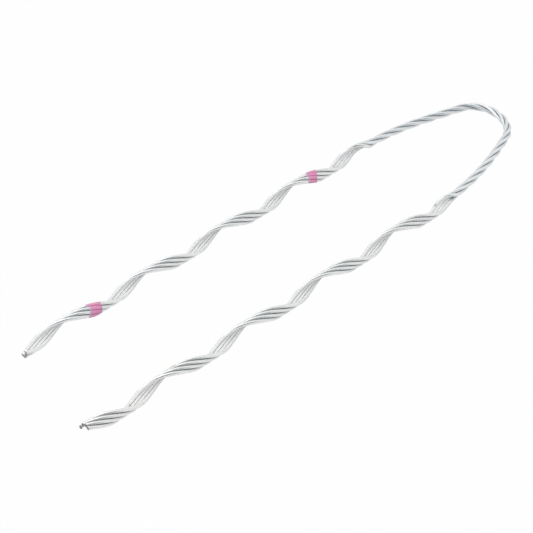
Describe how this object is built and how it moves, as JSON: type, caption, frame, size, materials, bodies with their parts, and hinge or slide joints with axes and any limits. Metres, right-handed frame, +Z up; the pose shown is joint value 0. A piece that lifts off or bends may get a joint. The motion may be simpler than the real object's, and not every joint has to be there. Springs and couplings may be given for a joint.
{
  "type": "guy grip dead-end",
  "caption": "Preformed guy grip dead-end: steel wires laid side by side in two open helical legs that close up into a twisted loop, lying flat.",
  "frame": {"origin": "middle of the bounding box, on the floor the grip lies on", "axes": "+X along the legs towards the loop, +Y from the front leg to the rear leg, +Z up from the floor"},
  "size_m": [0.6018, 0.1316, 0.0147],
  "materials": {
    "galvanised_wire": "matt zinc, bright on top",
    "grit_lining": "rough gritted adhesive",
    "marking_paint": "satin pink paint"
  },
  "bodies": {
    "root": {"wire_1": "galvanised_wire", "wire_2": "galvanised_wire", "wire_3": "galvanised_wire", "wire_4": "galvanised_wire", "grit_lining_front_leg": "grit_lining", "grit_lining_rear_leg": "grit_lining", "colour_code_mark": "marking_paint", "crossover_mark": "marking_paint"}
  },
  "joints": []
}
